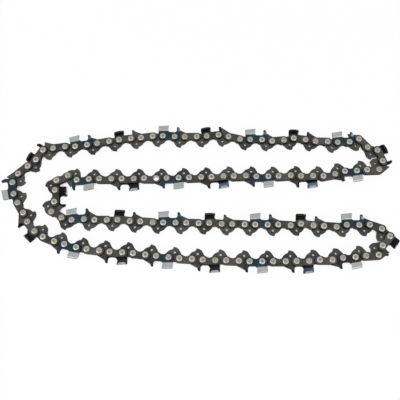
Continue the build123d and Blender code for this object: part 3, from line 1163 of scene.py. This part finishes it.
@dataclass(frozen=True)
class SpunRivetSteel(Finish):
    """Bright, slightly warm rivet heads with fine turning marks, and painted shade in the dish, in the
    crease round it and at the foot.
    """

    name: str = "spun_rivet_steel"
    slot: str = "bright_rivet_steel"
    tone_band: Point = (0.15, 0.85)
    dull: Colour = tint(142, 138, 128)
    bright: Colour = tint(200, 197, 186)
    # The colour of the painted shade on the head
    head_shade: Colour = tint(88, 77, 62)
    cloud: Grain = Grain(0.7)
    grain: Grain = Grain(3.5, 4)
    # Turning marks, as the turn of a sine wave per millimetre, and how much they raise the surface
    turning_rate: float = 34.0
    turning_bump: float = 0.3
    # How much the cloud, the grain, the turning marks and the piece's number count in its tone
    tone_shares: tuple[float, ...] = (0.9, 0.4, 0.06, 0.25)
    tone_shift: float = 0.27
    # Where painted shade lies, by the distance from the middle: in the dish, in the crease round it and at
    # the foot
    dish: Point = (0.4, 1.25)
    dish_cover: float = 0.2
    dish_by_piece: float = 0.7
    dish_patches: Point = (0.1, 0.5)
    crease_start: Point = (1.0, 1.2)
    crease_end: Point = (1.25, 1.6)
    crease_patches: Point = (0.4, 0.65)
    crease_cover: float = 0.5
    foot: Point = (2.05, 2.2)
    foot_cover: float = 0.8
    metal: float = 0.9
    rough_base: float = 0.24
    rough_share: float = 0.18

    def paint(self, desk: SteelDesk) -> None:
        """Lays the finish out in nodes."""
        radius = desk.apart(desk.plan, (0, 0))
        turning = desk.add("ShaderNodeMath", {"operation": "SINE"}, {0: radius * self.turning_rate})
        cloud, grain = desk.noise(self.cloud), desk.noise(self.grain)
        tone = weighed((cloud, grain, turning, desk.piece), self.tone_shares) - self.tone_shift
        metal = tone.step(*self.tone_band).mix(self.dull, self.bright)
        # Painted shade in the dish, in the crease and at the foot of the head
        dish_shading = self.dish_cover + desk.piece * self.dish_by_piece
        dish = (1 - radius.step(*self.dish)) * dish_shading * grain.step(*self.dish_patches)
        crease = radius.between(self.crease_start, self.crease_end) * cloud.step(*self.crease_patches)
        foot = radius.step(*self.foot) * self.foot_cover
        colour = (dish + crease * self.crease_cover + foot).mix(metal, self.head_shade)
        rough = self.rough_base + grain * self.rough_share
        marks = turning * self.turning_bump + grain
        desk.steel(colour, self.metal, rough, desk.bump(marks, self.bump_strength, self.bump_depth))


@dataclass(frozen=True)
class BluedCutterSteel(CoatedSteel):
    """Blued cutter bodies whose tooth is plated bright on its outside and filed bright at its front, with
    painted shade, painted glints and painted highlights.
    """

    name: str = "blued_cutter_steel"
    slot: str = "blued_cutter_steel"
    blue: Colour = tint(38, 61, 74)
    deep: Colour = tint(26, 42, 52)
    # Lighter edge colour: bare steel from wear, and a painted highlight where edges catch light
    worn_and_highlit: Colour = tint(94, 108, 122)
    # Cut edges: dark oxide, darkened further as painted shade on the walls
    cut: Colour = tint(13, 16, 22)
    # Painted shadow along the edge of the plating, also used to darken the tip of the depth gauge
    plate_shadow_and_dark_tip: Colour = tint(18, 24, 32)
    plate_dull: Colour = tint(146, 150, 148)
    plate_bright: Colour = tint(180, 184, 182)
    bare: Colour = tint(184, 187, 187)
    violet: Colour = tint(45, 39, 43)
    # Painted light inside a left-hand cutter: shade where unlit, navy where lit and a glint where it shines
    navy: Colour = tint(36, 43, 57)
    glint: Colour = tint(92, 124, 156)
    shade: Colour = tint(8, 9, 12)
    # A painted glint on the front of the depth gauge
    gauge_glint: Colour = tint(146, 174, 192)
    cloud: Grain = Grain(0.3)
    grain: Grain = Grain(3.0, 4)
    brushed: Grain = Grain(1.0, 3, (0.2, 4.5, 1))
    # How much the cloud and the grain count in the blue, and the brush marks and the cloud in the plating
    blue_shares: Point = (1.2, 0.3)
    blue_shift: float = 0.25
    plate_shares: Point = (0.8, 0.4)
    plate_shift: float = 0.1
    # Lines in the flat sheet: the place at x = 0, and the slope along the link
    bend_line: Point = (3.12, 0.132)
    plate_line: Point = (4.3, 0.09)
    plate_line_waver: float = 0.3
    # Bands along and across the flat sheet, and past the bend
    tooth_end: Point = (5.5, 6.0)
    tooth_foot: Point = (2.5, 2.9)
    side_start: Point = (0.9, 1.6)
    side_end: Point = (3.7, 4.5)
    free_edge: Point = (6.3, 6.6)
    gauge: Point = (9.5, 10.0)
    gauge_tip: Point = (6.3, 7.1)
    gauge_front: Point = (10.3, 11.3)
    # Where the painted glint on the depth gauge lies, across the sheet
    glint_patch_start: Point = (3.8, 4.8)
    glint_patch_end: Point = (6.1, 6.9)
    # Bands of the height in the sheet
    outer_face: Point = (0.5, 0.9)
    inner_face: Point = (0.3, 0.7)
    # How high in the sheet the painted highlight on the free edge reaches
    free_edge_glint_height: Point = (0.2, 0.4)
    # Bands from a line that the plating ends at
    plate_shadow_band: Point = (-0.5, -0.2)
    plate_band: Point = (-0.1, 0.12)
    # Bands from a face to a cut edge, and from unfiled to filed steel
    cut_band: Point = (0.5, 0.95)
    free_rim: Point = (0.2, 0.6)
    plate_rim: Point = (0.3, 0.8)
    filed_band: Point = (0.4, 0.8)
    # Bands of how much painted light a cutter gets, and of the number of a piece that is violet
    navy_band: Point = (0.0, 0.35)
    glint_band: Point = (0.35, 1.0)
    silver_band: Point = (0.0, 0.2)
    violet_band: Point = (0.97, 0.99)
    violet_cover: float = 0.9
    tip_cover: float = 0.6
    free_edge_glint_cover: float = 0.35
    glint_cover: float = 0.6
    glint_cloud: float = 0.6
    metal: float = 0.75
    bright_metal: float = 0.2
    rough_base: float = 0.3
    # How much the grain, bright steel and the brush marks roughen it
    rough_shares: tuple[float, ...] = (0.14, -0.06, 0.08)
    grain_bump: float = 0.6

    @staticmethod
    def past(line: Point, x: Wire, across: Wire) -> Wire:
        """How far a place in the flat sheet lies past a line."""
        return across - x * line[1] - line[0]

    def paint(self, desk: SteelDesk) -> None:
        """Lays the finish out in nodes."""
        rim, painted_light = desk.read("rim"), desk.read("painted_light")
        filed = desk.read("filed").step(*self.filed_band)
        x, across, height = desk.parts()
        cloud, grain, brushed = (desk.noise(each) for each in (self.cloud, self.grain, self.brushed))
        tooth = 1 - x.step(*self.tooth_end)
        outer = height.step(*self.outer_face)
        reach = self.past(self.bend_line, x, across)
        line = self.past(self.plate_line, x, across) + (cloud - desk.noise_middle) * self.plate_line_waver

        tone = weighed((cloud, grain), self.blue_shares) - self.blue_shift
        blued = tone.step(*self.tone_band).mix(self.deep, self.blue)
        blued = (desk.piece.step(*self.violet_band) * self.violet_cover).mix(blued, self.violet)
        # Rounded edges made lighter, as wear and as a painted highlight
        blued = self.edge_wear_and_highlight(rim, grain).mix(blued, self.worn_and_highlit)
        # A painted reflection on the depth gauge, by how much painted light the piece gets
        glint_patch = x.step(*self.gauge_front) * across.between(self.glint_patch_start, self.glint_patch_end) * outer
        blued = (glint_patch * painted_light).mix(blued, self.gauge_glint)
        # Darker towards the tip of the depth gauge
        tip = x.step(*self.gauge) * across.step(*self.gauge_tip)
        blued = (tip * self.tip_cover).mix(blued, self.plate_shadow_and_dark_tip)

        # The inside of a left-hand cutter: painted shade, lit navy or a painted glint, by how much painted
        # light the piece gets; the bend and the inside of the top plate stay in painted shade
        lining = painted_light.step(*self.navy_band).mix(self.shade, self.navy)
        glinting = painted_light.step(*self.glint_band) * (cloud * self.glint_cloud + self.glint_cover) * tooth
        lining = glinting.mix(lining, self.glint)
        side = reach.between(self.side_start, self.side_end)
        inside = (1 - height.step(*self.inner_face)) * across.step(*self.tooth_foot)
        blued = inside.mix(blued, side.mix(self.shade, lining))

        outside = outer * tooth
        # A painted shadow line just under the edge of the plating
        blued = (line.step(*self.plate_shadow_band) * outside).mix(blued, self.plate_shadow_and_dark_tip)
        # Cut edges darkened, partly as oxide and partly as painted shade
        blued = rim.step(*self.cut_band).mix(blued, self.cut)
        free_edge = reach.step(*self.free_edge) * rim.step(*self.free_rim)
        # A painted highlight along the inner corner of the free edge
        free_edge_glint = free_edge * (1 - height.step(*self.free_edge_glint_height)) * self.free_edge_glint_cover
        blued = free_edge_glint.mix(blued, self.worn_and_highlit)

        tone = weighed((brushed, cloud), self.plate_shares) - self.plate_shift
        plating = tone.step(*self.tone_band).mix(self.plate_dull, self.plate_bright)
        plated = line.step(*self.plate_band) * outside * (1 - rim.step(*self.plate_rim))
        # Pieces with painted light also get a plated free edge
        plated = plated.larger(free_edge * painted_light.step(*self.silver_band))
        bright = plated.larger(filed)
        desk.steel(
            filed.mix(plated.mix(blued, plating), self.bare),
            self.metal + bright * self.bright_metal,
            self.rough_base + weighed((grain, bright, brushed), self.rough_shares),
            desk.bump(brushed * bright + grain * self.grain_bump, self.bump_strength, self.bump_depth),
        )


@dataclass
class Placed:
    """One piece in its place, with a number that its shade follows and how much painted light it gets."""

    pattern: Pattern
    turn: np.ndarray
    pivot: Vector
    shade: float
    painted_light: float


@dataclass
class ChainLoop:
    """The whole chain: every piece in its place, joined by stretch and kind.

    Side links have even numbers and drive links odd ones. Places in the cutters' cycle count side links.
    """

    frame: dict[str, Any]
    sizes: ChainSizes = field(default_factory=ChainSizes)
    # The first link of each stretch that moves as one
    stretches: tuple[tuple[str, int], ...] = (
        ("short_end", 0),
        ("inner_bend", 8),
        ("inner_run", 13),
        ("lower_fold", 37),
        ("bottom_run", 46),
        ("left_bend", 70),
        ("top_run", 85),
        ("upper_fold", 111),
        ("long_end", 118),
    )
    # Cutters that get painted light, by their link, and how much: left-hand ones a lit or glinting inside of
    # the tooth, and right-hand ones a painted glint at the depth gauge
    painted_light_cutters: tuple[tuple[int, float], ...] = (
        (2, 0.25),
        (22, 0.12),
        (30, 0.18),
        (38, 1.0),
        (50, 0.6),
        (58, 0.22),
        (66, 0.35),
        (86, 0.22),
        (94, 0.4),
        (102, 0.48),
        (110, 1.0),
        (122, 1.0),
        (130, 0.8),
    )
    # Right-hand cutters that were tempered to violet instead of blue, by their link, and the number they get
    violet_cutters: tuple[int, ...] = (46,)
    violet_shade: float = 1.0
    cutter_cycle: int = 4
    left_cutter_place: int = 1
    right_cutter_place: int = 3
    # How far the drive links' holes are painted near white, as burnish and as painted light
    drive_burnished_lit_bore_reach: Point = (2.2, 2.3)
    seed: int = 7

    def __post_init__(self) -> None:
        """Makes one mesh of each kind of piece, and the finishes."""
        self.lay = ChainLay(self.frame, self.sizes)
        strap = TieStrap(self.sizes).pattern()
        cutter = Cutter(self.sizes).pattern()
        self.near = {
            Kind.TIE_STRAP: strap,
            Kind.RIGHT_CUTTER: cutter,
            Kind.PLAIN_DRIVE_LINK: DriveLink(self.sizes, False).pattern(),
            Kind.BUMPER_DRIVE_LINK: DriveLink(self.sizes, True).pattern(),
            Kind.RIVET: Rivet(self.sizes).pattern(),
        }
        self.far = {Kind.TIE_STRAP: strap.far_side(), Kind.LEFT_CUTTER: cutter.far_side()}
        self.finishes = self.choose_finishes()
        self.materials = {finish.name: finish.make() for finish in self.finishes.values()}
        self.random = np.random.default_rng(self.seed)

    def choose_finishes(self) -> dict[Kind, Finish]:
        """The finish of each kind of piece."""
        s = self.sizes
        drive_links = PhosphatedSteel(
            "phosphated_drive_steel",
            strap_shadow_centres=((s.end_shift, s.rise), (s.drive_spacing - s.end_shift, s.rise)),
            burnished_lit_bores=((0.0, 0.0), (s.drive_spacing, 0.0)),
            burnished_lit_bore_reach=self.drive_burnished_lit_bore_reach,
        )
        cutters = BluedCutterSteel()
        return {
            Kind.PLAIN_DRIVE_LINK: drive_links,
            Kind.BUMPER_DRIVE_LINK: drive_links,
            Kind.TIE_STRAP: PhosphatedSteel(burnished_lit_bores=((0.0, 0.0), (s.side_spacing, 0.0))),
            Kind.RIGHT_CUTTER: cutters,
            Kind.LEFT_CUTTER: cutters,
            Kind.RIVET: SpunRivetSteel(),
        }

    def stretch_of(self, link: int) -> str:
        """The stretch that a link belongs to."""
        return [name for name, first in self.stretches if first <= link][-1]

    def pieces_of(self, link: int) -> list[tuple[Kind, Pattern, int]]:
        """What a link is made of.

        Args:
            link: The number of the link.

        Returns:
            The kind and mesh of each piece, and the number of the pivot that it starts from.
        """
        position, is_drive_link = divmod(link, 2)
        if is_drive_link:
            kind = Kind.BUMPER_DRIVE_LINK if position % 2 == 1 else Kind.PLAIN_DRIVE_LINK
            return [(kind, self.near[kind], link)]
        place = position % self.cutter_cycle
        near = Kind.RIGHT_CUTTER if place == self.right_cutter_place else Kind.TIE_STRAP
        far = Kind.LEFT_CUTTER if place == self.left_cutter_place else Kind.TIE_STRAP
        pieces = [(near, self.near[near], link), (far, self.far[far], link)]
        # The first pivot is open, so no rivet goes there
        pieces += [(Kind.RIVET, self.near[Kind.RIVET], pivot) for pivot in (link, link + 1) if pivot > 0]
        return pieces

    def build(self) -> None:
        """Sets every piece in its place and dresses it."""
        groups: dict[tuple[str, Kind], list[Placed]] = {}
        painted_light_cutters = dict(self.painted_light_cutters)
        for link in range(len(self.lay.pivots)):
            heading = self.lay.heading(link)
            painted_light = painted_light_cutters.get(link, 0.0)
            turn = np.array([
                [math.cos(heading), -math.sin(heading), 0.0],
                [math.sin(heading), math.cos(heading), 0.0],
                [0.0, 0.0, 1.0],
            ])
            for kind, pattern, pivot in self.pieces_of(link):
                group = groups.setdefault((self.stretch_of(link), kind), [])
                shade = self.random.random()
                if kind is Kind.RIGHT_CUTTER and link in self.violet_cutters:
                    shade = self.violet_shade
                group.append(Placed(pattern, turn, self.lay.pivots[pivot], shade, painted_light))
        for (stretch, kind), members in groups.items():
            self.dress(stretch, kind, members)

    def dress(self, stretch: str, kind: Kind, members: list[Placed]) -> None:
        """Joins pieces of one kind in one stretch and gives them their finish.

        Args:
            stretch: The stretch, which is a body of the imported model.
            kind: The kind of piece.
            members: The pieces.
        """
        node = f"{stretch}_{kind.value}"
        finish = self.finishes[kind]
        mesh = self.join(f"{node}_steel", members)
        mesh.materials.append(self.materials[finish.name])
        piece = bpy.data.objects.new(f"{node}_steel", mesh)
        bpy.context.scene.collection.objects.link(piece)
        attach(piece, stretch)
        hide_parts(node)
        LOG.info("%s: %d pieces, %d faces", piece.name, len(members), len(mesh.polygons))

    @staticmethod
    def join(name: str, members: list[Placed]) -> bpy.types.Mesh:
        """One mesh from several placed pieces.

        Args:
            name: The name of the mesh.
            members: The pieces.

        Returns:
            The mesh in metres, with the values that its finish reads.
        """
        patterns = [member.pattern for member in members]
        sizes = [len(pattern.points) for pattern in patterns]
        firsts = np.cumsum([0] + sizes[:-1])
        points = np.vstack([m.pattern.points @ m.turn.T * MM + np.array(m.pivot) for m in members])
        normals = np.vstack([m.pattern.normals @ m.turn.T for m in members])
        faces = [
            np.vstack([pattern.quads + first for pattern, first in zip(patterns, firsts)]),
            np.vstack([pattern.triangles + first for pattern, first in zip(patterns, firsts)]),
        ]
        corners = np.concatenate([rows.ravel() for rows in faces])
        face_sizes = np.concatenate([np.full(len(rows), rows.shape[1]) for rows in faces])
        starts = np.cumsum(face_sizes) - face_sizes
        mesh = bpy.data.meshes.new(name)
        mesh.vertices.add(len(points))
        mesh.vertices.foreach_set("co", points.astype(np.float32).ravel())
        mesh.loops.add(len(corners))
        mesh.loops.foreach_set("vertex_index", corners.astype(np.int32))
        mesh.polygons.add(len(starts))
        mesh.polygons.foreach_set("loop_start", starts.astype(np.int32))
        mesh.update(calc_edges=True)
        mesh.polygons.foreach_set("use_smooth", np.ones(len(starts), dtype=bool))
        mesh.normals_split_custom_set_from_vertices(normals.tolist())
        place = mesh.attributes.new("plan", "FLOAT_VECTOR", "POINT")
        plan = np.vstack([pattern.plan for pattern in patterns])
        place.data.foreach_set("vector", plan.astype(np.float32).ravel())
        carried = {
            "rim": np.concatenate([pattern.rim for pattern in patterns]),
            "filed": np.concatenate([pattern.filed for pattern in patterns]),
            "piece": np.repeat([member.shade for member in members], sizes),
            "painted_light": np.repeat([member.painted_light for member in members], sizes),
        }
        for label, values in carried.items():
            attribute = mesh.attributes.new(label, "FLOAT", "POINT")
            attribute.data.foreach_set("value", values.astype(np.float32))
        return mesh


@dataclass(frozen=True)
class Lamp:
    """A soft square lamp that faces the chain: its place and side in metres, and its power in watts."""

    name: str
    place: tuple[float, float, float]
    power: float
    side: float = 1.0

    def hang(self) -> None:
        """Hangs the lamp in the scene."""
        data = bpy.data.lights.new(self.name, "AREA")
        data.energy = self.power
        data.size = self.side
        lamp = bpy.data.objects.new(self.name, data)
        lamp.location = self.place
        lamp.rotation_euler = Vector(self.place).to_track_quat("Z", "Y").to_euler()
        bpy.context.scene.collection.objects.link(lamp)


@dataclass
class Studio:
    """The pale table, the soft light and the camera above the chain, with lengths in millimetres."""

    open_pivot: Vector
    # Where the camera aims, from the middle of the loop, at the height of the rivet heads
    aim: Point = (0.986, -3.0)
    head_height: float = 5.5
    tilt: float = 16.54
    distance: float = 400.6
    lens_pixels: float = 552.5
    picture_pixels: float = 400.0
    sensor: float = 36.0
    near_clip: float = 10.0
    lamps: tuple[Lamp, ...] = (
        Lamp("key_light", (-0.8, -0.6, 0.8), 6.0),
        Lamp("fill_light", (0.8, -0.7, 0.7), 4.0),
    )
    day_strength: float = 0.65
    white: Colour = (1.0, 1.0, 1.0, 1.0)
    table_colour: Colour = tint(252, 252, 251)
    table_size: float = 3000.0
    white_share: float = 0.94
    # How far round it the table looks for the chain, how open it then is in a hollow and outside, and how
    # much of its white is left in a hollow
    hollow_reach: float = 6.0
    hollow_samples: int = 16
    hollow_open: Point = (0.2, 0.45)
    hollow_white: float = 0.4
    # How far from the open pivot the table is painted white, a painted pool of light where the chain would
    # shade it
    painted_light_spot: Point = (4.0, 5.0)

    def seen_directly(self, desk: ShaderDesk) -> Wire:
        """1 for rays that show the background, straight or in a mirror or glass."""
        outputs = desk.node("ShaderNodeLightPath").outputs
        names = ("Is Camera Ray", "Is Glossy Ray", "Is Transmission Ray")
        camera, glossy, through = (Wire(desk, outputs[name]) for name in names)
        return (camera + glossy + through).step(0.0, 1.0)

    def whiteness(self, desk: ShaderDesk) -> Wire:
        """How much of the table's white shows, which is less where the chain closes it in, as painted shade.

        Args:
            desk: The nodes of the table's material.

        Returns:
            A share of the full white. Below the open pivot the table is painted white, a painted pool of
            light.
        """
        settings = {"samples": self.hollow_samples}
        inputs = {"Distance": self.hollow_reach * MM}
        # Painted shade: the table shows less white in hollows under the chain
        openness = desk.add("ShaderNodeAmbientOcclusion", settings, inputs, "AO")
        place = desk.scaled(desk.add("ShaderNodeNewGeometry", output="Position"), (1 / MM, 1 / MM, 0))
        # A painted pool of light on the table below the open pivot
        lit_spot = 1 - desk.apart(place, self.open_pivot.xy / MM).step(*self.painted_light_spot)
        openness = openness.step(*self.hollow_open).larger(lit_spot)
        return self.hollow_white + openness * (1 - self.hollow_white)

    def table(self) -> None:
        """A pale table that stays white to the camera and still takes a soft shadow."""
        material = bpy.data.materials.new("pale_table")
        desk = ShaderDesk(material)
        matt = desk.add("ShaderNodeBsdfDiffuse", None, {"Color": self.table_colour})
        white = desk.add("ShaderNodeEmission", None, {"Color": self.white, "Strength": 1.0})
        share = self.seen_directly(desk) * self.whiteness(desk) * self.white_share
        mixed = desk.add("ShaderNodeMixShader", None, {0: share, 1: matt, 2: white})
        desk.node("ShaderNodeOutputMaterial", None, {"Surface": mixed})
        half = self.table_size / 2 * MM
        mesh = bpy.data.meshes.new("table")
        corners = [(-half, -half, 0), (half, -half, 0), (half, half, 0), (-half, half, 0)]
        mesh.from_pydata(corners, [], [(0, 1, 2, 3)])
        mesh.materials.append(material)
        table = bpy.data.objects.new("table", mesh)
        bpy.context.scene.collection.objects.link(table)

    def sky(self) -> None:
        """A white surround, with less light in it than it shows."""
        world = bpy.data.worlds.new("white_surround")
        bpy.context.scene.world = world
        desk = ShaderDesk(world)
        strength = self.day_strength + self.seen_directly(desk) * (1 - self.day_strength)
        light = desk.add("ShaderNodeBackground", None, {"Color": self.white, "Strength": strength})
        desk.node("ShaderNodeOutputWorld", None, {"Surface": light})

    def camera(self) -> None:
        """The camera of the photograph: above the chain, leaning back a little."""
        data = bpy.data.cameras.new("camera")
        data.sensor_width = self.sensor
        data.lens = self.lens_pixels / self.picture_pixels * self.sensor
        data.clip_start = self.near_clip * MM
        camera = bpy.data.objects.new("camera", data)
        lean = math.radians(self.tilt)
        camera.location = (
            self.aim[0] * MM,
            (self.aim[1] - self.distance * math.sin(lean)) * MM,
            (self.head_height + self.distance * math.cos(lean)) * MM,
        )
        camera.rotation_euler = (lean, 0, 0)
        bpy.context.scene.collection.objects.link(camera)
        bpy.context.scene.camera = camera

    def build(self) -> None:
        """Sets up the table, the light and the camera."""
        self.table()
        self.sky()
        for lamp in self.lamps:
            lamp.hang()
        self.camera()
        bpy.context.scene.view_settings.view_transform = "Standard"


def main() -> None:
    """Builds the chain and the studio round it."""
    logging.basicConfig(level=logging.INFO, format="%(name)s: %(message)s")
    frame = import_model()
    chain = ChainLoop(frame)
    chain.build()
    Studio(chain.lay.pivots[0]).build()


if __name__ == "__main__":
    main()
